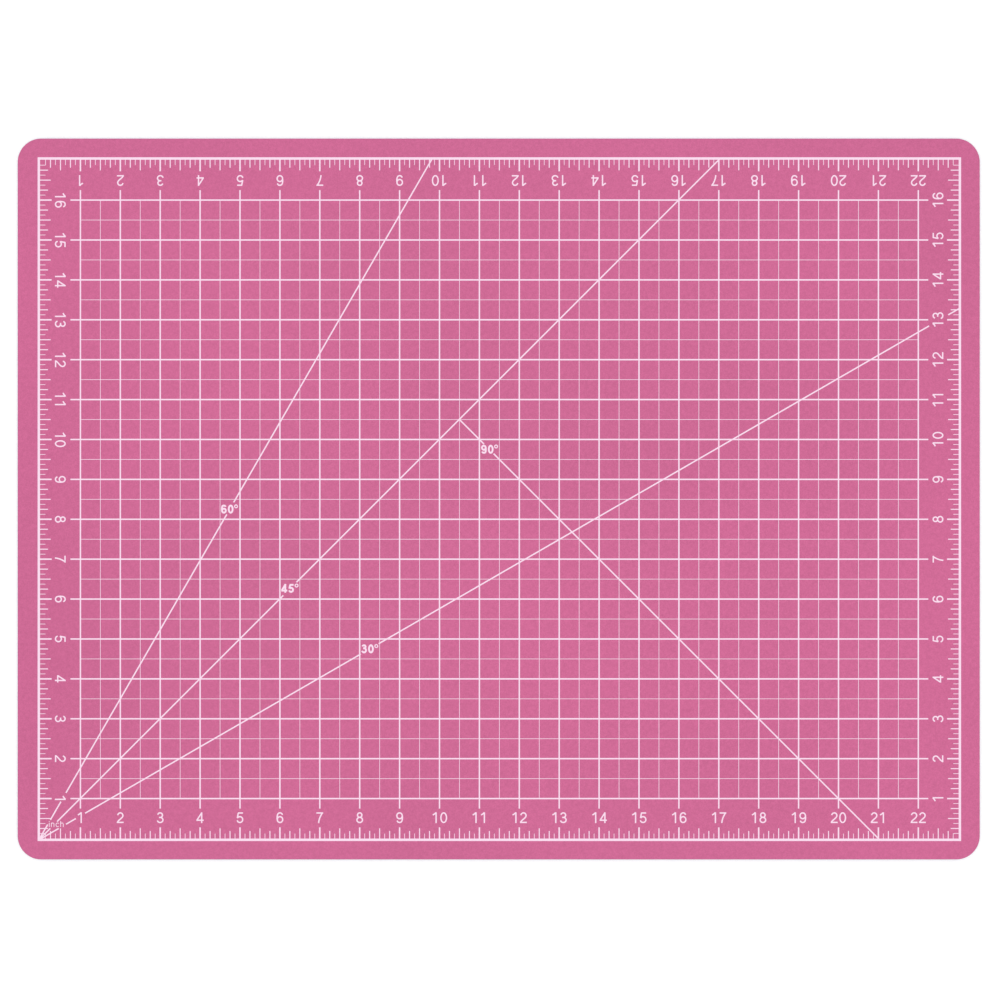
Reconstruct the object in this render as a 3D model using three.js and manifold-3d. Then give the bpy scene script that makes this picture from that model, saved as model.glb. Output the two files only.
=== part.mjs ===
// Self healing cutting mat for leather and craft work: five laminated sheets with a measuring
// grid printed in white ink on both faces. Pink face up, blue face down.
// Units are millimetres. +X runs along the long side, +Y along the short side, +Z is up.
// The origin is the centre of the underside.
import * as THREE from 'three';
import { mergeVertices } from 'three/addons/utils/BufferGeometryUtils.js';
import Module from 'manifold-3d';

const INCH = 25.4;

// Outline of the laminate
const MAT_LENGTH = 612.6;
const MAT_WIDTH = 459.0;
const CORNER_RADIUS = 15;
const CORNER_SEGMENTS = 8;

// Thickness of each layer, from the outside in; the stack is the same from both faces
const INK_THICKNESS = 0.05;
const FACE_SHEET_THICKNESS = 0.9;
const INNER_SHEET_THICKNESS = 0.3;
const CORE_THICKNESS = 0.5;

// The die leaves a small rounded edge on both face sheets
const EDGE_ROUND = 0.3;
const EDGE_ROUND_SEGMENTS = 3;

// Printed scales, in inches from the zero corner at the lower left of each face
const SCALE_LONG_IN = 23;
const SCALE_SHORT_IN = 17;
const GRID_START_IN = 1;
const GRID_STUB_IN = 0.25;
const MARK_STEP_IN = 0.5;
const INCH_MARK_LENGTH_IN = 0.278;
const HALF_MARK_LENGTH_IN = 0.254;
const GUIDE_ANGLES_DEG = [30, 45, 60];
const CROSS_GUIDE_START_IN = 10.5;

// Printed line widths
const FRAME_LINE_WIDTH = 1.55;
const GRID_LINE_WIDTH = 0.88;
const INCH_MARK_WIDTH = 0.93;
const HALF_MARK_WIDTH = 0.62;
const GUIDE_LINE_WIDTH = 0.87;
// From the zero line of a scale to the outer edge of the frame line
const FRAME_REACH = 1.85;
// Lines that end on the frame run on to the middle of its width
const FRAME_LAP = FRAME_REACH - FRAME_LINE_WIDTH / 2;

// Points closer than these count as one point, as one level and as one straight edge
const POINT_TOLERANCE = 1e-5;
const LEVEL_TOLERANCE = 1e-4;
const EDGE_TOLERANCE = 0.002;

// Colour and roughness of each material
const PINK_PVC = { color: 0xd16b99, roughness: 0.75 };
const BLUE_PVC = { color: 0x0a67b4, roughness: 0.75 };
const INNER_PVC = { color: 0xd9d7d2, roughness: 0.8 };
const CORE_PLASTIC = { color: 0xf1efe9, roughness: 0.7 };
const WHITE_INK = { color: 0xfbf3f7, roughness: 0.6 };

const wasm = await Module();
wasm.setup();

// Levels of every interface, from the table up
const Z_TABLE = 0;
const Z_BOTTOM_SHEET = Z_TABLE + INK_THICKNESS;
const Z_LOWER_INNER = Z_BOTTOM_SHEET + FACE_SHEET_THICKNESS;
const Z_CORE = Z_LOWER_INNER + INNER_SHEET_THICKNESS;
const Z_UPPER_INNER = Z_CORE + CORE_THICKNESS;
const Z_TOP_SHEET = Z_UPPER_INNER + INNER_SHEET_THICKNESS;
const Z_TOP_INK = Z_TOP_SHEET + FACE_SHEET_THICKNESS;
const Z_WORK_SURFACE = Z_TOP_INK + INK_THICKNESS;

const HALF_LONG = (SCALE_LONG_IN * INCH) / 2;
const HALF_SHORT = (SCALE_SHORT_IN * INCH) / 2;

// A closed geometry as a solid that can be joined and cut
function toManifold(geometry) {
  const bare = geometry.clone();
  bare.deleteAttribute('normal');
  bare.deleteAttribute('uv');
  const merged = mergeVertices(bare, POINT_TOLERANCE);
  const mesh = new wasm.Mesh({
    numProp: 3,
    vertProperties: new Float32Array(merged.attributes.position.array),
    triVerts: new Uint32Array(merged.index.array),
  });
  return new wasm.Manifold(mesh);
}

function toGeometry(manifold) {
  const mesh = manifold.getMesh();
  const geometry = new THREE.BufferGeometry();
  geometry.setAttribute('position', new THREE.BufferAttribute(mesh.vertProperties, 3));
  geometry.setIndex(new THREE.BufferAttribute(mesh.triVerts, 1));
  return geometry;
}

// Moves every vertex with one of the heights in `from` to the same place in `to`
function setHeights(geometry, from, to) {
  const position = geometry.attributes.position;
  for (let i = 0; i < position.count; i += 1) {
    const level = from.findIndex((z) => Math.abs(position.getZ(i) - z) < LEVEL_TOLERANCE);
    if (level >= 0) position.setZ(i, to[level]);
  }
  return geometry;
}

// Rounded rectangle, drawn counter-clockwise and centred on the origin
function matOutline() {
  const x = MAT_LENGTH / 2;
  const y = MAT_WIDTH / 2;
  const r = CORNER_RADIUS;
  const outline = new THREE.Shape();
  outline.moveTo(x - r, -y);
  outline.absarc(x - r, -y + r, r, -Math.PI / 2, 0, false);
  outline.absarc(x - r, y - r, r, 0, Math.PI / 2, false);
  outline.absarc(-x + r, y - r, r, Math.PI / 2, Math.PI, false);
  outline.absarc(-x + r, -y + r, r, Math.PI, 1.5 * Math.PI, false);
  outline.closePath();
  return outline;
}

// A flat sheet of the full outline between two levels
function plainSheet(low, high) {
  const sheet = new THREE.ExtrudeGeometry(matOutline(), {
    depth: 1,
    bevelEnabled: false,
    curveSegments: CORNER_SEGMENTS,
  });
  return setHeights(sheet, [0, 1], [low, high]);
}

// A face sheet: flat where it is bonded, with a rounded edge on the side that shows
function faceSheet(bonded, outer) {
  const thickness = Math.abs(outer - bonded);
  const doubled = new THREE.ExtrudeGeometry(matOutline(), {
    depth: 2 * (thickness - EDGE_ROUND),
    bevelEnabled: true,
    bevelThickness: EDGE_ROUND,
    bevelSize: EDGE_ROUND,
    bevelOffset: -EDGE_ROUND,
    bevelSegments: EDGE_ROUND_SEGMENTS,
    curveSegments: CORNER_SEGMENTS,
  });
  doubled.translate(0, 0, -(thickness - EDGE_ROUND));
  // A block on the outer side of the bonded face keeps that half of the doubled sheet
  const side = Math.sign(outer - bonded);
  const keep = new THREE.BoxGeometry(2 * MAT_LENGTH, 2 * MAT_WIDTH, 2 * thickness);
  keep.translate(0, 0, side * thickness);
  const sheet = toGeometry(toManifold(doubled).intersect(toManifold(keep)));
  sheet.translate(0, 0, bonded);
  return setHeights(sheet, [bonded, outer], [bonded, outer]);
}

// One straight printed line of unit height between two points
function bar(x0, y0, x1, y1, width) {
  const line = new THREE.BoxGeometry(Math.hypot(x1 - x0, y1 - y0), width, 1);
  line.rotateZ(Math.atan2(y1 - y0, x1 - x0));
  line.translate((x0 + x1) / 2, (y0 + y1) / 2, 0);
  return setHeights(line, [-0.5, 0.5], [0, 1]);
}

// A rectangle round the scales, a little outside their zero lines, as a closed path
function frameEdge(path, outside) {
  const x = HALF_LONG + outside;
  const y = HALF_SHORT + outside;
  path.moveTo(-x, -y);
  path.lineTo(x, -y);
  path.lineTo(x, y);
  path.lineTo(-x, y);
  path.closePath();
  return path;
}

// The frame line, one unit high
function printedFrame() {
  const frame = frameEdge(new THREE.Shape(), FRAME_REACH);
  frame.holes.push(frameEdge(new THREE.Path(), FRAME_REACH - FRAME_LINE_WIDTH));
  return new THREE.ExtrudeGeometry(frame, { depth: 1, bevelEnabled: false });
}

// Inch and half inch marks along all four scales, from the frame line inwards
function printedMarks() {
  const marks = [];
  for (let i = MARK_STEP_IN; i < SCALE_LONG_IN; i += MARK_STEP_IN) {
    const x = i * INCH - HALF_LONG;
    const [length, width] = markSize(i);
    marks.push(bar(x, -HALF_SHORT - FRAME_LAP, x, -HALF_SHORT + length, width));
    marks.push(bar(x, HALF_SHORT - length, x, HALF_SHORT + FRAME_LAP, width));
  }
  for (let i = MARK_STEP_IN; i < SCALE_SHORT_IN; i += MARK_STEP_IN) {
    const y = i * INCH - HALF_SHORT;
    const [length, width] = markSize(i);
    marks.push(bar(-HALF_LONG - FRAME_LAP, y, -HALF_LONG + length, y, width));
    marks.push(bar(HALF_LONG - length, y, HALF_LONG + FRAME_LAP, y, width));
  }
  return marks;
}

// Length and width of the mark at a place on the scale, in millimetres
function markSize(inches) {
  if (Number.isInteger(inches)) return [INCH_MARK_LENGTH_IN * INCH, INCH_MARK_WIDTH];
  return [HALF_MARK_LENGTH_IN * INCH, HALF_MARK_WIDTH];
}

// Grid lines one inch apart; each runs a short stub past the outermost line it crosses
function printedGrid() {
  const lines = [];
  const first = GRID_START_IN;
  const lastLong = SCALE_LONG_IN - GRID_START_IN;
  const lastShort = SCALE_SHORT_IN - GRID_START_IN;
  const endX = (lastLong + GRID_STUB_IN) * INCH - HALF_LONG;
  const endY = (lastShort + GRID_STUB_IN) * INCH - HALF_SHORT;
  for (let i = first; i <= lastLong; i += 1) {
    const x = i * INCH - HALF_LONG;
    lines.push(bar(x, -endY, x, endY, GRID_LINE_WIDTH));
  }
  for (let i = first; i <= lastShort; i += 1) {
    const y = i * INCH - HALF_SHORT;
    lines.push(bar(-endX, y, endX, y, GRID_LINE_WIDTH));
  }
  return lines;
}

// Angle guides from the zero corner to the frame, and the one that crosses at a right angle
function printedGuides() {
  const lines = [];
  for (const angle of GUIDE_ANGLES_DEG) {
    const slope = Math.tan(THREE.MathUtils.degToRad(angle));
    const reach = Math.min(SCALE_LONG_IN * INCH + FRAME_LAP, (SCALE_SHORT_IN * INCH + FRAME_LAP) / slope);
    lines.push(guide(-FRAME_LAP, -FRAME_LAP * slope, reach, reach * slope));
  }
  const start = CROSS_GUIDE_START_IN * INCH;
  lines.push(guide(start, start, 2 * start + FRAME_LAP, -FRAME_LAP));
  return lines;
}

// A guide between two places measured from the zero corner, which is at the +X end of the underside
function guide(x0, y0, x1, y1) {
  return bar(HALF_LONG - x0, y0 - HALF_SHORT, HALF_LONG - x1, y1 - HALF_SHORT, GUIDE_LINE_WIDTH);
}

// The connected artwork of the underside, seen from above: frame line, inch grid, marks and guides
// in one film of ink, one unit high
function artwork() {
  let film = toManifold(printedFrame());
  for (const line of [...printedGrid(), ...printedMarks(), ...printedGuides()]) {
    film = film.add(toManifold(line));
  }
  // The joined lines become one surface, so that no seam is left where they cross
  return toGeometry(film.asOriginal().simplify(EDGE_TOLERANCE));
}

// The mirror image of a closed mesh across X, with its faces still turned outwards
function mirrored(geometry) {
  const image = geometry.clone();
  image.scale(-1, 1, 1);
  const corners = image.index.array;
  for (let i = 0; i < corners.length; i += 3) {
    [corners[i], corners[i + 1]] = [corners[i + 1], corners[i]];
  }
  return image;
}

function addNode(name, geometry, look) {
  const surface = geometry.index ? geometry : mergeVertices(geometry);
  surface.deleteAttribute('uv');
  surface.computeVertexNormals();
  const mesh = new THREE.Mesh(surface, new THREE.MeshStandardMaterial({ ...look, metalness: 0 }));
  mesh.name = name;
  group.add(mesh);
}

const group = new THREE.Group();
group.name = 'self_healing_mat';

const bottomInk = artwork();
const topInk = mirrored(bottomInk);
setHeights(bottomInk, [0, 1], [Z_TABLE, Z_BOTTOM_SHEET]);
setHeights(topInk, [0, 1], [Z_TOP_INK, Z_WORK_SURFACE]);

addNode('bottom_print', bottomInk, WHITE_INK);
addNode('bottom_face_sheet', faceSheet(Z_LOWER_INNER, Z_BOTTOM_SHEET), BLUE_PVC);
addNode('lower_inner_sheet', plainSheet(Z_LOWER_INNER, Z_CORE), INNER_PVC);
addNode('core_sheet', plainSheet(Z_CORE, Z_UPPER_INNER), CORE_PLASTIC);
addNode('upper_inner_sheet', plainSheet(Z_UPPER_INNER, Z_TOP_SHEET), INNER_PVC);
addNode('top_face_sheet', faceSheet(Z_TOP_SHEET, Z_TOP_INK), PINK_PVC);
addNode('top_print', topInk, WHITE_INK);

export default group;
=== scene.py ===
import math
from functools import cache
import bpy
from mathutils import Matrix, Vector
from mathutils.geometry import delaunay_2d_cdt


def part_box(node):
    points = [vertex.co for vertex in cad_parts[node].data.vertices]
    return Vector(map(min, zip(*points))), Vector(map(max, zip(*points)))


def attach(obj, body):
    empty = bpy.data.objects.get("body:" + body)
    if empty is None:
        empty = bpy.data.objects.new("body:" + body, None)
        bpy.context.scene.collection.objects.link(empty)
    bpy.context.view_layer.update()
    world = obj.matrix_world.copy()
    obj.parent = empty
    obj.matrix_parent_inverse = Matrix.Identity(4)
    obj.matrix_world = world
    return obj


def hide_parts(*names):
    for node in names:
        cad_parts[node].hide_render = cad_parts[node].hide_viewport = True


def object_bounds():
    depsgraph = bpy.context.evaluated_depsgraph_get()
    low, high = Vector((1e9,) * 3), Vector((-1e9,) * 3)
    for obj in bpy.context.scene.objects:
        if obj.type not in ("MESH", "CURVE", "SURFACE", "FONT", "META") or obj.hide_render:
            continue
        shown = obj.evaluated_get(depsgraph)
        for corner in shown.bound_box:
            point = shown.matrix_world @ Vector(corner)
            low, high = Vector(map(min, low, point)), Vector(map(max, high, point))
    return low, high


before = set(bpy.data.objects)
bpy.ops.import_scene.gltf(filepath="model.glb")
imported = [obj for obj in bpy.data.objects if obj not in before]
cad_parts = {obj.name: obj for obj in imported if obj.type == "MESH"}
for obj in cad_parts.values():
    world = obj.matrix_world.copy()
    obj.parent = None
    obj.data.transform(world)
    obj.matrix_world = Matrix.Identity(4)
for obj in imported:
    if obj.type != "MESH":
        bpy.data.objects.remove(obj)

cad_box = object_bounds()

MM = 0.001
BODY = "root"

# ---------------------------------------------------------------- laminate
CORNER_RADIUS = 15 * MM
CORNER_STEPS = 20
FACE_ROUND = 0.3 * MM        # rounded edge that the cutting die leaves on the outer faces
FACE_ROUND_STEPS = 5
SEAM_EASE = 0.05 * MM        # tiny easing beside each bond line
SUPPORT = 0.5 * MM           # flat band inside an edge, so that shading stays flat beyond it
SHARP_ANGLE = 35             # degrees between faces past which an edge is drawn sharp
INK_SINK = 0.01 * MM         # how far the ink reaches into the sheet under it

# ---------------------------------------------------------------- printed artwork, in inches
INCH = 0.0254
LONG_SCALE = 23
SHORT_SCALE = 17
# From the zero line of each scale to the frame line's far edge, and the same on the near side
FRAME_REACH = 1.85 * MM / INCH
NEAR_FRAME_REACH = 1.63 * MM / INCH
FRAME_LINE = 1.55 * MM / INCH
GRID_LINE = 0.88 * MM / INCH
HALF_LINE = 0.33 * MM / INCH
GUIDE_LINE = 0.87 * MM / INCH
GRID_STUB = 0.25             # how far an inch line runs past the outermost line it crosses
MARKS_PER_INCH = 8
# Length and width of the scale marks, by how many eighths of an inch they fall on
MARKS = {
    8: (0.278, 0.93 * MM / INCH),
    4: (0.254, 0.62 * MM / INCH),
    2: (0.188, 0.62 * MM / INCH),
    1: (0.122, 0.38 * MM / INCH),
}
CROSS_GUIDE_START = 10.5     # where the 90 degree guide leaves the 45 degree one
# How far the artwork of each face sits off the middle of its sheet, in metres
PRINT_SHIFT = {"top": (0.4 * MM, -0.2 * MM), "bottom": (0.0, 0.0)}

# Numbers: the height of a figure, and how far its middle lies from the zero line of each side
FIGURE_HEIGHT = 0.27
FIGURE_DEPTH = {"near": 0.521, "far": 0.509, "left": 0.496, "right": 0.507}
FIGURE_ADVANCE = 0.777       # width that one figure takes, as a share of its height
ANGLE_HEIGHT = 0.22          # height of the figures that label the angle guides
UNIT_HEIGHT = 0.148          # height of the word that names the unit
# Stroke widths of the scale numbers, the angle labels and the unit, as shares of the height
REGULAR = 0.127
BOLD = 0.21
UNIT_STROKE = 0.12

# ---------------------------------------------------------------- camera and light
CAMERA_LENS = 85
CAMERA_SENSOR = 36
VIEW_WIDTH = 636.6 * MM      # what the picture spans at the work surface
VIEW_SHIFT = (0.81 * MM, -0.63 * MM)
SOFTBOX_PLACE = (0.0, 0.0, 2.6)
SOFTBOX_SIZE = 3.0
SOFTBOX_POWER = 18.5         # watts
AIR_BRIGHTNESS = 1.0         # strength of the even white light from all round
FLOOR_HALF = 6.0             # from the middle of the floor to its edge


def srgb(red, green, blue):
    """A display colour from 0 to 255 as the linear RGBA that shaders take."""
    def linear(value):
        share = value / 255
        return share / 12.92 if share <= 0.04045 else ((share + 0.055) / 1.055) ** 2.4
    return (linear(red), linear(green), linear(blue), 1.0)


# ================================================================ flat shapes
def stroke(start, end, width):
    """One straight line of ink as four corners, anticlockwise."""
    along = Vector(end) - Vector(start)
    side = Vector((-along.y, along.x)).normalized() * width / 2
    return [Vector(start) - side, Vector(end) - side, Vector(end) + side, Vector(start) + side]


def rectangle(low, high):
    return [Vector(low), Vector((high[0], low[1])), Vector(high), Vector((low[0], high[1]))]


def arc(centre, radii, start, end, steps=14):
    """Points along an ellipse from one angle to another, in degrees, anticlockwise if end > start."""
    angles = [math.radians(start + (end - start) * i / steps) for i in range(steps + 1)]
    return [(centre[0] + radii[0] * math.cos(a), centre[1] + radii[1] * math.sin(a)) for a in angles]


def curve(first, pull_out, pull_in, last, steps=12):
    """Points along a cubic Bezier curve."""
    points = []
    for i in range(steps + 1):
        t = i / steps
        weights = ((1 - t) ** 3, 3 * t * (1 - t) ** 2, 3 * t * t * (1 - t), t ** 3)
        ends = (first, pull_out, pull_in, last)
        points.append(tuple(sum(w * p[axis] for w, p in zip(weights, ends)) for axis in (0, 1)))
    return points


def ribbon(path, width):
    """A pen stroke along a path, as quads with mitred joins. A path that ends where it began closes."""
    points = [Vector(path[0])]
    for point in path[1:]:
        if (Vector(point) - points[-1]).length > 1e-4:
            points.append(Vector(point))
    closed = (points[0] - points[-1]).length < 1e-3
    if closed:
        points.pop()
    count = len(points)
    edges = []
    for i, point in enumerate(points):
        before = points[i - 1] if i or closed else None
        after = points[(i + 1) % count] if i < count - 1 or closed else None
        into = (point - before).normalized() if before is not None else None
        out = (after - point).normalized() if after is not None else None
        way = (into or out) + (out or into)
        normal = Vector((-way.y, way.x)).normalized()
        straight = Vector((-(out or into).y, (out or into).x))
        half = width / 2 / max(normal.dot(straight), 0.5)
        edges.append((point - normal * half, point + normal * half))
    last = count if closed else count - 1
    quads = []
    for i in range(last):
        right, left = edges[i]
        next_right, next_left = edges[(i + 1) % count]
        quads.append([right, next_right, next_left, left])
    return quads


def joined(outlines, merge=1e-5):
    """The area that the outlines cover between them, as (points, triangles) with no overlap."""
    points, faces = [], []
    for outline in outlines:
        faces.append(list(range(len(points), len(points) + len(outline))))
        points.extend(outline)
    corners, _, triangles, _, _, sources = delaunay_2d_cdt(points, [], faces, 1, merge)
    return corners, [t for t, source in zip(triangles, sources) if source]


# ================================================================ figures
# Each figure is drawn as pen paths in a box 1 high. pen is half the stroke's width, so that
# the outer edge of the ink stays on the figure's outline whatever its weight.
def figure_0(pen):
    return [arc((0.388, 0.5), (0.325 - pen, 0.51 - pen), 0, 360, 36)]


def figure_1(pen):
    stem = 0.525 - pen
    flag = curve((0.15, 0.755), (0.27, 0.80), (0.38, 0.89), (stem - 0.01, 0.985))
    return [[(stem, 0), (stem, 1)], flag]


def figure_2(pen):
    bowl = arc((0.388, 0.70), (0.305 - pen, 0.31 - pen), 172, 0, 18)
    right = 0.693 - pen
    tail = curve((right, 0.70), (right, 0.46), (0.22, 0.32), (0.115, pen))
    return [bowl + tail[1:], [(0.06, pen), (0.70, pen)]]


def figure_3(pen):
    upper = arc((0.378, 0.735), (0.285 - pen, 0.275 - pen), 168, -90, 20)
    middle = 0.735 - 0.275 + pen
    lower = arc((0.38, 0.5 * middle + 0.5 * pen - 0.005),
                (0.325 - pen, 0.5 * middle - 0.5 * pen + 0.005), 90, -168, 20)
    return [upper, [(0.28, middle), (0.40, middle)], lower]


def figure_4(pen):
    stem = 0.60 - pen
    bar = 0.295 - 0.5 * pen
    return [[(stem, 0), (stem, 1)], [(stem - 0.01, 1 - pen), (0.09, bar)], [(0.045, bar), (0.72, bar)]]


def figure_5(pen):
    top = 1 - pen
    bowl = arc((0.375, 0.325), (0.325 - pen, 0.335 - pen), 140, -165, 24)
    side = [(0.165 + pen, top), (0.075 + pen, 0.47)]
    return [[(0.16 + pen * 0.5, top), (0.66, top)], side, [side[1], *bowl]]


def figure_6(pen):
    bowl = arc((0.395, 0.325), (0.315 - pen, 0.335 - pen), 0, 360, 30)
    crown = arc((0.41, 0.72), (0.275 - pen, 0.29 - pen), 12, 90, 8)
    left = 0.065 + pen
    sweep = curve(crown[-1], (0.20, 1.01 - pen), (left, 0.80), (left, 0.46))
    return [bowl, crown + sweep[1:] + [(left + 0.015, 0.325)]]


def figure_7(pen):
    top = 1 - pen
    slope = curve((0.685 - pen, top), (0.45, 0.68), (0.30, 0.36), (0.215 + pen, 0))
    return [[(0.07, top), (0.70, top)], slope]


def figure_8(pen):
    waist = 0.53
    upper = arc((0.388, (1.01 + waist) / 2 - pen / 2),
                (0.27 - pen, (1.01 - waist - pen) / 2), 0, 360, 26)
    lower = arc((0.388, (waist - 0.01) / 2 + pen / 2),
                (0.32 - pen, (waist + 0.01 - pen) / 2), 0, 360, 30)
    return [upper, lower]


def figure_9(pen):
    return [[(FIGURE_ADVANCE - x, 1 - y) for x, y in path] for path in figure_6(pen)]


def letter_i(pen):
    return [[(0.155, 0), (0.155, 0.725)], [(0.155, 0.86), (0.155, 1)]]


def letter_n(pen):
    left, right = 0.09 + pen, 0.66 - pen
    shoulder = arc(((left + right) / 2, 0.74 - pen - 0.22), ((right - left) / 2, 0.22), 170, 0, 12)
    return [[(left, 0), (left, 0.725)], shoulder + [(right, 0)]]


def letter_c(pen):
    return [arc((0.37, 0.363), (0.32 - pen, 0.375 - pen), 42, 318, 22)]


def letter_h(pen):
    return [[(0.09 + pen, 0), (0.09 + pen, 1)], *letter_n(pen)[1:]]


FIGURES = {
    "0": figure_0, "1": figure_1, "2": figure_2, "3": figure_3, "4": figure_4,
    "5": figure_5, "6": figure_6, "7": figure_7, "8": figure_8, "9": figure_9,
    "i": letter_i, "n": letter_n, "c": letter_c, "h": letter_h,
}
LETTER_ADVANCES = {"i": 0.36, "n": 0.82, "c": 0.75, "h": 0.82}


@cache
def drawn(character, weight):
    """The joined outline of one character, 1 high, drawn once for each weight."""
    paths = FIGURES[character](weight / 2)
    return joined([quad for path in paths for quad in ribbon(path, weight)], 1e-4)


def advance(character):
    return LETTER_ADVANCES.get(character, FIGURE_ADVANCE)


def text_width(text):
    return sum(advance(character) for character in text)


def add_shape(plan, shape):
    points, triangles = plan
    base = len(points)
    points.extend(shape[0])
    triangles.extend([base + i for i in face] for face in shape[1])


def write(plan, text, start, height, turn=0, weight=REGULAR):
    """Adds a line of text to plan. start is the left end of its baseline; turn is in degrees."""
    along = Vector((math.cos(math.radians(turn)), math.sin(math.radians(turn)))) * height
    up = Vector((-along.y, along.x))
    pen_x = 0.0
    for character in text:
        corners, faces = drawn(character, weight)
        placed = [Vector(start) + along * (pen_x + c.x) + up * c.y for c in corners]
        add_shape(plan, (placed, faces))
        pen_x += advance(character)


def write_centred(plan, text, middle, turn):
    """A scale number whose middle lies at a point, standing with its feet to the nearest edge."""
    along = Vector((math.cos(math.radians(turn)), math.sin(math.radians(turn)))) * FIGURE_HEIGHT
    up = Vector((-along.y, along.x))
    start = Vector(middle) - along * text_width(text) / 2 - up / 2
    write(plan, text, start, FIGURE_HEIGHT, turn)


# ================================================================ the artwork's plan
# Angle labels: text, left end of the baseline
ANGLE_LABELS = [
    ("60", (4.510, 8.145)),
    ("45", (6.026, 6.160)),
    ("30", (8.025, 4.643)),
    ("90", (11.027, 9.645)),
]
DEGREE_RADIUS = 0.049        # the degree ring, to the outside of its stroke
DEGREE_STROKE = 0.026
DEGREE_LIFT = 0.008          # how far the degree ring stands above the figures
UNIT_START = (0.196, 0.288)  # left end of the unit's baseline

# Stretches of each guide, in inches along +X, left clear for the labels and numbers on it
GUIDE_GAPS = {
    30: [(0.455, 0.64), (0.886, 1.117), (8.025, 8.475), (22.27, 22.75)],
    45: [(0.245, 0.415), (6.085, 6.415)],
    60: [(0.180, 0.247), (0.511, 0.638), (4.668, 4.842)],
}
CROSS_GUIDE_GAPS = [(11.115, 11.355)]
# How far above the zero corner the line of each guide passes
GUIDE_RISE = {30: -0.012, 45: 0.0075, 60: 0.038}


def plan_border():
    """The frame line, as four bars that overlap at the corners."""
    outer, inner = FRAME_REACH, FRAME_REACH - FRAME_LINE
    low, right, high = -NEAR_FRAME_REACH, LONG_SCALE + outer, SHORT_SCALE + outer
    return [
        rectangle((-outer, low), (right, low + FRAME_LINE)),
        rectangle((-outer, SHORT_SCALE + inner), (right, high)),
        rectangle((-outer, low), (-inner, high)),
        rectangle((LONG_SCALE + inner, low), (right, high)),
    ]


def anticlockwise(outline):
    area = sum(a.x * b.y - b.x * a.y for a, b in zip(outline, outline[1:] + outline[:1]))
    return outline if area > 0 else outline[::-1]


def plan_marks():
    """Scale marks along all four zero lines, from the frame line inwards."""
    root = FRAME_REACH - FRAME_LINE / 2
    outlines = []
    for scale, across, place in (
        (LONG_SCALE, SHORT_SCALE, lambda along, depth: (along, depth)),
        (SHORT_SCALE, LONG_SCALE, lambda along, depth: (depth, along)),
    ):
        for eighth in range(1, scale * MARKS_PER_INCH):
            step = next(s for s in MARKS if eighth % s == 0)
            length, width = MARKS[step]
            at = eighth / MARKS_PER_INCH
            for near, far in ((-root, length), (across - length, across + root)):
                outlines.append(stroke(place(at, near), place(at, far), width))
    return [anticlockwise(outline) for outline in outlines]


def plan_grid():
    """Inch lines, and thinner half inch lines between the outermost inch lines."""
    outlines = []
    first, last_long, last_short = 1, LONG_SCALE - 1, SHORT_SCALE - 1
    for half in range(2 * first, 2 * last_long + 1):
        stub, width = (0, HALF_LINE) if half % 2 else (GRID_STUB, GRID_LINE)
        x = half / 2
        outlines.append(stroke((x, first - stub), (x, last_short + stub), width))
    for half in range(2 * first, 2 * last_short + 1):
        stub, width = (0, HALF_LINE) if half % 2 else (GRID_STUB, GRID_LINE)
        y = half / 2
        outlines.append(stroke((first - stub, y), (last_long + stub, y), width))
    return outlines


def broken_line(start_x, end_x, height_at, gaps):
    """Strokes along a straight guide, left out where it would cross a label."""
    outlines = []
    at = start_x
    for gap_start, gap_end in [*gaps, (end_x, end_x)]:
        outlines.append(stroke((at, height_at(at)), (gap_start, height_at(gap_start)), GUIDE_LINE))
        at = gap_end
    return outlines


def plan_guides():
    """Angle guides from the zero corner to the frame, and the 90 degree one across them."""
    lap = FRAME_REACH - FRAME_LINE / 2
    outlines = []
    for angle, gaps in GUIDE_GAPS.items():
        slope, rise = math.tan(math.radians(angle)), GUIDE_RISE[angle]
        reach = min(LONG_SCALE + lap, (SHORT_SCALE + lap - rise) / slope)
        outlines += broken_line(-lap, reach, lambda x, s=slope, r=rise: x * s + r, gaps)
    start = CROSS_GUIDE_START
    outlines += broken_line(start, 2 * start + lap, lambda x: 2 * start - x, CROSS_GUIDE_GAPS)
    return outlines


def plan_lines():
    return joined(plan_border() + plan_marks() + plan_grid() + plan_guides())


def plan_numbers():
    """Scale numbers on all four sides, angle labels and the unit, as one set of outlines."""
    plan = ([], [])
    for inch in range(1, LONG_SCALE):
        write_centred(plan, str(inch), (inch, FIGURE_DEPTH["near"]), 0)
        write_centred(plan, str(inch), (inch, SHORT_SCALE - FIGURE_DEPTH["far"]), 180)
    for inch in range(1, SHORT_SCALE):
        write_centred(plan, str(inch), (FIGURE_DEPTH["left"], inch), -90)
        write_centred(plan, str(inch), (LONG_SCALE - FIGURE_DEPTH["right"], inch), 90)
    for text, start in ANGLE_LABELS:
        write(plan, text, start, ANGLE_HEIGHT, weight=BOLD)
        ring = (start[0] + ANGLE_HEIGHT * text_width(text) + DEGREE_RADIUS,
                start[1] + ANGLE_HEIGHT + DEGREE_LIFT - DEGREE_RADIUS)
        pen_radius = DEGREE_RADIUS - DEGREE_STROKE / 2
        circle = arc(ring, (pen_radius, pen_radius), 0, 360, 20)
        add_shape(plan, joined(ribbon(circle, DEGREE_STROKE)))
    write(plan, "inch", UNIT_START, UNIT_HEIGHT, weight=UNIT_STROKE)
    return plan


# ================================================================ solids
def add_piece(name, vertices, faces, material, slot, *replaced):
    """Makes the mesh object, lets it ride on the body and stand for its CAD node."""
    mesh = bpy.data.meshes.new(name)
    mesh.from_pydata(vertices, [], faces)
    mesh.validate()
    mesh.materials.append(material)
    piece = bpy.data.objects.new(name, mesh)
    bpy.context.scene.collection.objects.link(piece)
    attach(piece, BODY)
    if replaced:
        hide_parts(*replaced)
    return piece


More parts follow.
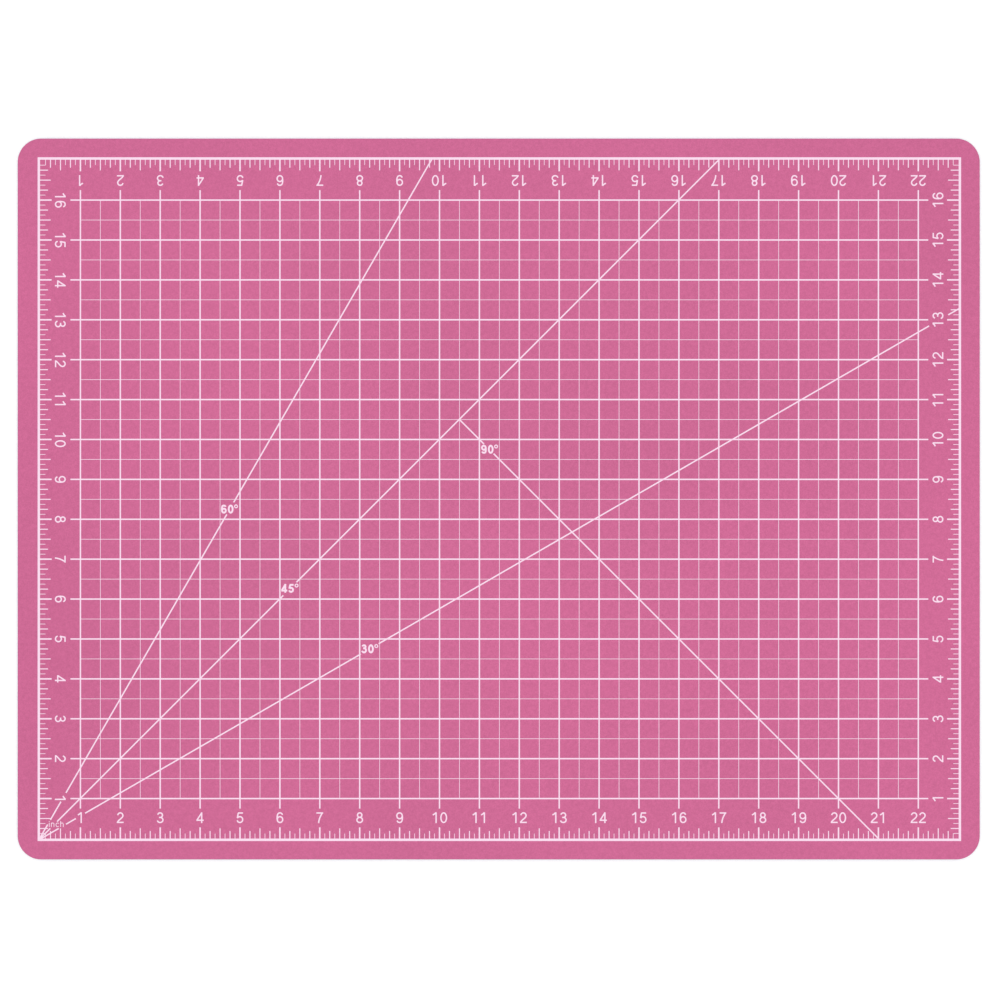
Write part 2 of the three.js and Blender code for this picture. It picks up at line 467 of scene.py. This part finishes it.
def film_solid(plan, zero, facing, low, high):
    """Raises flat artwork into a closed film. facing is -1 where it is read from below."""
    points, triangles = plan
    count = len(points)
    flat = [(zero[0] + facing * p.x * INCH, zero[1] + p.y * INCH) for p in points]
    if facing < 0:
        triangles = [t[::-1] for t in triangles]
    vertices = [(x, y, low) for x, y in flat] + [(x, y, high) for x, y in flat]
    edges = {(a, b) for t in triangles for a, b in zip(t, [*t[1:], t[0]])}
    rim = sorted(edge for edge in edges if (edge[1], edge[0]) not in edges)
    faces = [[i + count for i in t] for t in triangles]
    faces += [list(reversed(t)) for t in triangles]
    faces += [[a, b, b + count, a + count] for a, b in rim]
    return vertices, faces


def mat_outline(half_x, half_y, inset):
    """Points round the mat's rounded rectangle, moved in from its edge, anticlockwise."""
    centre_x, centre_y = half_x - CORNER_RADIUS, half_y - CORNER_RADIUS
    radius = CORNER_RADIUS - inset
    points = []
    for quarter, (side_x, side_y) in enumerate(((1, 1), (-1, 1), (-1, -1), (1, -1))):
        for i in range(CORNER_STEPS + 1):
            angle = (quarter + i / CORNER_STEPS) * math.pi / 2
            points.append((side_x * centre_x + radius * math.cos(angle),
                           side_y * centre_y + radius * math.sin(angle)))
    return points


def layer_solid(node, profile):
    """A sheet lofted through (inset, height) pairs from its lower face to its upper face."""
    low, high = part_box(node)
    half_x, half_y = (high.x - low.x) / 2, (high.y - low.y) / 2
    rings = [[(x, y, z) for x, y in mat_outline(half_x, half_y, inset)] for inset, z in profile]
    count = len(rings[0])
    vertices = [point for ring in rings for point in ring]
    faces = [list(range(count))[::-1]]
    for r in range(len(rings) - 1):
        base, above = r * count, (r + 1) * count
        for i in range(count):
            j = (i + 1) % count
            faces.append([base + i, base + j, above + j, above + i])
    faces.append([(len(rings) - 1) * count + i for i in range(count)])
    return vertices, faces


def eased(z, into):
    """Profile of an edge beside a bond line; into is 1 above the line and -1 below it."""
    edge = [(SEAM_EASE + SUPPORT, z), (SEAM_EASE, z), (0, z + into * SEAM_EASE)]
    return edge if into > 0 else edge[::-1]


def rounded(z, out):
    """Profile of the rounded edge of an outer face; out is 1 on top and -1 underneath."""
    edge = []
    for i in range(FACE_ROUND_STEPS + 1):
        angle = i / FACE_ROUND_STEPS * math.pi / 2
        edge.append((FACE_ROUND * (1 - math.cos(angle)), z - out * FACE_ROUND * (1 - math.sin(angle))))
    edge.append((FACE_ROUND + SUPPORT, z))
    return edge if out > 0 else edge[::-1]


def smooth_edges(piece):
    """Smooth shading on the rounded edge, with sharp breaks elsewhere."""
    piece.data.polygons.foreach_set("use_smooth", [True] * len(piece.data.polygons))
    piece.data.set_sharp_from_angle(angle=math.radians(SHARP_ANGLE))


# ================================================================ materials
# How fine each pattern is, in waves per metre
FINE_GRAIN = 1500
COARSE_GRAIN = 420
MOTTLE = 260
DRIFT = 5
CUT_STREAKS = 900
INNER_TONE = 60
INK_SPECKLE = 2400
INK_PATCHES = 35
PAPER_TONE = 3
# Depth of each relief
GRAIN_DEPTH = 0.08 * MM
STREAK_DEPTH = 0.03 * MM
INK_DEPTH = 0.05 * MM
MATTE_SPECULAR = 0.35
# Painted shade that darkens the hollows of the pressed grain, and how light its peaks are left
PIT_PAINTED_SHADE = (0.85, 0.84, 0.85, 1.0)
PEAK_TONE = (1.0, 1.0, 1.0, 1.0)
PAPER_DARK = (0.93, 0.93, 0.93, 1.0)
PAPER_LIGHT = (0.95, 0.95, 0.95, 1.0)
# Where Blender's Mix node keeps its two inputs and its result, for colours and for values
COLOUR_SOCKETS = (6, 7, 2)
VALUE_SOCKETS = (2, 3, 0)


def new_material(name):
    material = bpy.data.materials.new(name)
    material.use_nodes = True
    tree = material.node_tree
    return material, tree, tree.nodes["Principled BSDF"]


def object_noise(tree, scale, detail=2.0, roughness=0.5, stretch=(1, 1, 1)):
    """Noise fixed to the mat. scale is in waves per metre."""
    where = tree.nodes.new("ShaderNodeTexCoord")
    mapping = tree.nodes.new("ShaderNodeMapping")
    mapping.inputs["Scale"].default_value = stretch
    noise = tree.nodes.new("ShaderNodeTexNoise")
    noise.inputs["Scale"].default_value = scale
    noise.inputs["Detail"].default_value = detail
    noise.inputs["Roughness"].default_value = roughness
    tree.links.new(where.outputs["Object"], mapping.inputs["Vector"])
    tree.links.new(mapping.outputs["Vector"], noise.inputs["Vector"])
    return noise.outputs["Fac"]


def ranged(tree, value, low, high, new_low, new_high):
    """Maps a value from one range to another, clamped."""
    node = tree.nodes.new("ShaderNodeMapRange")
    node.inputs["From Min"].default_value = low
    node.inputs["From Max"].default_value = high
    node.inputs["To Min"].default_value = new_low
    node.inputs["To Max"].default_value = new_high
    tree.links.new(value, node.inputs["Value"])
    return node.outputs["Result"]


def feed(tree, socket, value):
    """Gives a socket a number or colour, or the output of another node."""
    if isinstance(value, (int, float, tuple)):
        socket.default_value = value
    else:
        tree.links.new(value, socket)


def calculated(tree, operation, first, second):
    node = tree.nodes.new("ShaderNodeMath")
    node.operation = operation
    feed(tree, node.inputs[0], first)
    feed(tree, node.inputs[1], second)
    return node.outputs["Value"]


def mixed_colour(tree, factor, first, second, blend="MIX"):
    node = tree.nodes.new("ShaderNodeMix")
    node.data_type = "RGBA"
    node.blend_type = blend
    feed(tree, node.inputs["Factor"], factor)
    feed(tree, node.inputs[COLOUR_SOCKETS[0]], first)
    feed(tree, node.inputs[COLOUR_SOCKETS[1]], second)
    return node.outputs[COLOUR_SOCKETS[2]]


def mixed_value(tree, factor, first, second):
    node = tree.nodes.new("ShaderNodeMix")
    feed(tree, node.inputs["Factor"], factor)
    feed(tree, node.inputs[VALUE_SOCKETS[0]], first)
    feed(tree, node.inputs[VALUE_SOCKETS[1]], second)
    return node.outputs[VALUE_SOCKETS[2]]


def bumped(tree, height, distance, strength=1.0):
    node = tree.nodes.new("ShaderNodeBump")
    node.inputs["Strength"].default_value = strength
    node.inputs["Distance"].default_value = distance
    tree.links.new(height, node.inputs["Height"])
    return node.outputs["Normal"]


def scaled_colour(colour, by):
    return (*(min(1.0, c * by) for c in colour[:3]), 1.0)


def pebble_grain(tree):
    """The fine matte grain pressed into both cutting faces, as a height from 0 to 1."""
    fine = object_noise(tree, FINE_GRAIN, detail=2.5, roughness=0.6)
    coarse = object_noise(tree, COARSE_GRAIN, detail=1.0)
    return calculated(tree, "ADD", calculated(tree, "MULTIPLY", fine, 0.75),
                      calculated(tree, "MULTIPLY", coarse, 0.25))


def cut_streaks(tree):
    """Fine upright scoring that the die leaves on the cut edge, as a height from 0 to 1."""
    return object_noise(tree, CUT_STREAKS, detail=2.0, stretch=(1, 1, 0.05))


def on_a_face(tree):
    """1 on the flat faces and 0 on the cut edge."""
    geometry = tree.nodes.new("ShaderNodeNewGeometry")
    parts = tree.nodes.new("ShaderNodeSeparateXYZ")
    tree.links.new(geometry.outputs["Normal"], parts.inputs["Vector"])
    upright = calculated(tree, "ABSOLUTE", parts.outputs["Z"], 0)
    return ranged(tree, upright, 0.55, 0.9, 0, 1)


def cutting_sheet(name, colour):
    """Soft matte PVC with a pressed grain, slightly polished in the high spots. Painted shade darkens
    the grain's hollows and the grooves of the scoring on the cut edge.
    """
    material, tree, shader = new_material(name)
    drift = ranged(tree, object_noise(tree, DRIFT, detail=2), 0.35, 0.65, 0, 1)
    mottle = ranged(tree, object_noise(tree, MOTTLE, detail=3, roughness=0.65), 0.3, 0.7, 0, 1)
    grain = pebble_grain(tree)
    # Painted shade: where the grain is low, its colour is darkened as if shade lay in its hollows
    pit_shade_mask = ranged(tree, grain, 0.38, 0.62, 0, 1)
    face = on_a_face(tree)
    broad = mixed_colour(tree, drift, scaled_colour(colour, 0.97), scaled_colour(colour, 1.02))
    deep = mixed_colour(tree, drift, scaled_colour(colour, 0.94), scaled_colour(colour, 0.99))
    speckled = mixed_colour(tree, mottle, deep, broad)
    # Painted shade laid over the sheet's colour in the grain's hollows
    shade = mixed_colour(tree, pit_shade_mask, PIT_PAINTED_SHADE, PEAK_TONE)
    pit_shaded_colour = mixed_colour(tree, 1.0, speckled, shade, "MULTIPLY")
    # Painted shade: the cut edge is painted darker, down to 0.8 of the sheet colour, in the low grooves
    # of its scoring
    cut = mixed_colour(tree, cut_streaks(tree), scaled_colour(colour, 0.8), scaled_colour(colour, 1.0))
    tree.links.new(mixed_colour(tree, face, cut, pit_shaded_colour), shader.inputs["Base Color"])
    tree.links.new(ranged(tree, grain, 0.3, 0.7, 0.74, 0.6), shader.inputs["Roughness"])
    shader.inputs["Specular IOR Level"].default_value = MATTE_SPECULAR
    height = mixed_value(tree, face, cut_streaks(tree), grain)
    tree.links.new(bumped(tree, height, GRAIN_DEPTH, 0.8), shader.inputs["Normal"])
    return material


def bonded_sheet(name, colour, streak):
    """A pale inner layer, seen only as a thin line along the cut edge."""
    material, tree, shader = new_material(name)
    streaks = cut_streaks(tree)
    soft = object_noise(tree, INNER_TONE, detail=2)
    tint = mixed_colour(tree, soft, scaled_colour(colour, 0.94), scaled_colour(colour, 1.0))
    scored = ranged(tree, streaks, 0.35, 0.7, 0, streak)
    tone = mixed_colour(tree, scored, tint, scaled_colour(colour, 0.7))
    tree.links.new(tone, shader.inputs["Base Color"])
    tree.links.new(ranged(tree, streaks, 0.3, 0.7, 0.55, 0.75), shader.inputs["Roughness"])
    tree.links.new(bumped(tree, streaks, STREAK_DEPTH, 0.6), shader.inputs["Normal"])
    return material


def screen_ink(name, colour, beneath):
    """White ink printed through a screen: a thin matte coat that lets a little of the sheet show."""
    material, tree, shader = new_material(name)
    coverage = ranged(tree, object_noise(tree, INK_SPECKLE, detail=2), 0.3, 0.62, 0.86, 1.0)
    patchy = ranged(tree, object_noise(tree, INK_PATCHES, detail=2), 0.3, 0.7, 0.97, 1.0)
    solid = calculated(tree, "MULTIPLY", coverage, patchy)
    tree.links.new(mixed_colour(tree, solid, beneath, colour), shader.inputs["Base Color"])
    grain = pebble_grain(tree)
    tree.links.new(ranged(tree, grain, 0.3, 0.7, 0.62, 0.5), shader.inputs["Roughness"])
    shader.inputs["Specular IOR Level"].default_value = MATTE_SPECULAR
    tree.links.new(bumped(tree, grain, INK_DEPTH, 0.4), shader.inputs["Normal"])
    return material


def floor_material():
    material, tree, shader = new_material("studio_paper")
    tone = mixed_colour(tree, object_noise(tree, PAPER_TONE, detail=3), PAPER_DARK, PAPER_LIGHT)
    tree.links.new(tone, shader.inputs["Base Color"])
    shader.inputs["Roughness"].default_value = 0.9
    shader.inputs["Specular IOR Level"].default_value = 0.1
    return material


# ================================================================ the mat
PINK = srgb(199, 96, 141)
BLUE = srgb(4, 96, 176)
INK = srgb(236, 209, 227)
INK_ON_BLUE = srgb(222, 232, 242)
INNER_GREY = srgb(214, 212, 206)
CORE_WHITE = srgb(240, 238, 232)


def levels(node):
    low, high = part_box(node)
    return low.z, high.z


def make_top_sheet():
    low, high = levels("top_face_sheet")
    solid = layer_solid("top_face_sheet", eased(low, 1) + rounded(high, 1))
    material = cutting_sheet("pink_pvc", PINK)
    smooth_edges(add_piece("top_cutting_sheet", *solid, material, "pink_pvc", "top_face_sheet"))


def make_bottom_sheet():
    low, high = levels("bottom_face_sheet")
    solid = layer_solid("bottom_face_sheet", rounded(low, -1) + eased(high, -1))
    material = cutting_sheet("blue_pvc", BLUE)
    smooth_edges(add_piece("bottom_cutting_sheet", *solid, material, "blue_pvc", "bottom_face_sheet"))


def make_inner_layers():
    soft = bonded_sheet("inner_pvc", INNER_GREY, 0.5)
    stiff = bonded_sheet("core_plastic", CORE_WHITE, 0.25)
    for node, name, material, slot in (
        ("upper_inner_sheet", "upper_inner_layer", soft, "inner_pvc"),
        ("core_sheet", "core_layer", stiff, "core_plastic"),
        ("lower_inner_sheet", "lower_inner_layer", soft, "inner_pvc"),
    ):
        low, high = levels(node)
        solid = layer_solid(node, eased(low, 1) + eased(high, -1))
        smooth_edges(add_piece(name, *solid, material, slot, node))


def make_prints():
    lines, numbers = plan_lines(), plan_numbers()
    half_x, half_y = LONG_SCALE * INCH / 2, SHORT_SCALE * INCH / 2
    for side, facing, ink in (
        ("top", 1, screen_ink("white_ink_on_pink", INK, PINK)),
        ("bottom", -1, screen_ink("white_ink_on_blue", INK_ON_BLUE, BLUE)),
    ):
        node = f"{side}_print"
        low, high = levels(node)
        bottom, top = (low - INK_SINK, high) if facing > 0 else (low, high + INK_SINK)
        zero = (PRINT_SHIFT[side][0] - facing * half_x, PRINT_SHIFT[side][1] - half_y)
        for kind, plan in (("lines", lines), ("numbers", numbers)):
            solid = film_solid(plan, zero, facing, bottom, top)
            add_piece(f"{node}_{kind}", *solid, ink, "white_ink", node)


# ================================================================ studio
def make_floor():
    half = FLOOR_HALF
    mesh = bpy.data.meshes.new("studio_floor")
    mesh.from_pydata([(-half, -half, 0), (half, -half, 0), (half, half, 0), (-half, half, 0)], [],
                     [(0, 1, 2, 3)])
    mesh.materials.append(floor_material())
    floor = bpy.data.objects.new("studio_floor", mesh)
    bpy.context.scene.collection.objects.link(floor)


def make_softbox(name, place, size, power):
    """A square light that faces the middle of the mat."""
    light = bpy.data.lights.new(name, "AREA")
    light.size = size
    light.energy = power
    softbox = bpy.data.objects.new(name, light)
    softbox.location = place
    softbox.rotation_euler = (-Vector(place)).to_track_quat("-Z", "Y").to_euler()
    bpy.context.scene.collection.objects.link(softbox)


def make_world(strength):
    world = bpy.data.worlds.new("studio_air")
    world.use_nodes = True
    background = world.node_tree.nodes["Background"]
    background.inputs["Color"].default_value = (1, 1, 1, 1)
    background.inputs["Strength"].default_value = strength
    bpy.context.scene.world = world


def make_camera():
    """Straight above the mat, with the top of the picture towards +Y."""
    data = bpy.data.cameras.new("camera")
    data.lens = CAMERA_LENS
    data.sensor_width = CAMERA_SENSOR
    camera = bpy.data.objects.new("camera", data)
    height = VIEW_WIDTH * CAMERA_LENS / CAMERA_SENSOR
    camera.location = (*VIEW_SHIFT, cad_box[1].z + height)
    bpy.context.scene.collection.objects.link(camera)
    bpy.context.scene.camera = camera


def make_studio():
    make_floor()
    make_world(AIR_BRIGHTNESS)
    make_softbox("overhead_softbox", SOFTBOX_PLACE, SOFTBOX_SIZE, SOFTBOX_POWER)
    make_camera()
    bpy.context.scene.view_settings.view_transform = "Standard"


make_top_sheet()
make_bottom_sheet()
make_inner_layers()
make_prints()
make_studio()
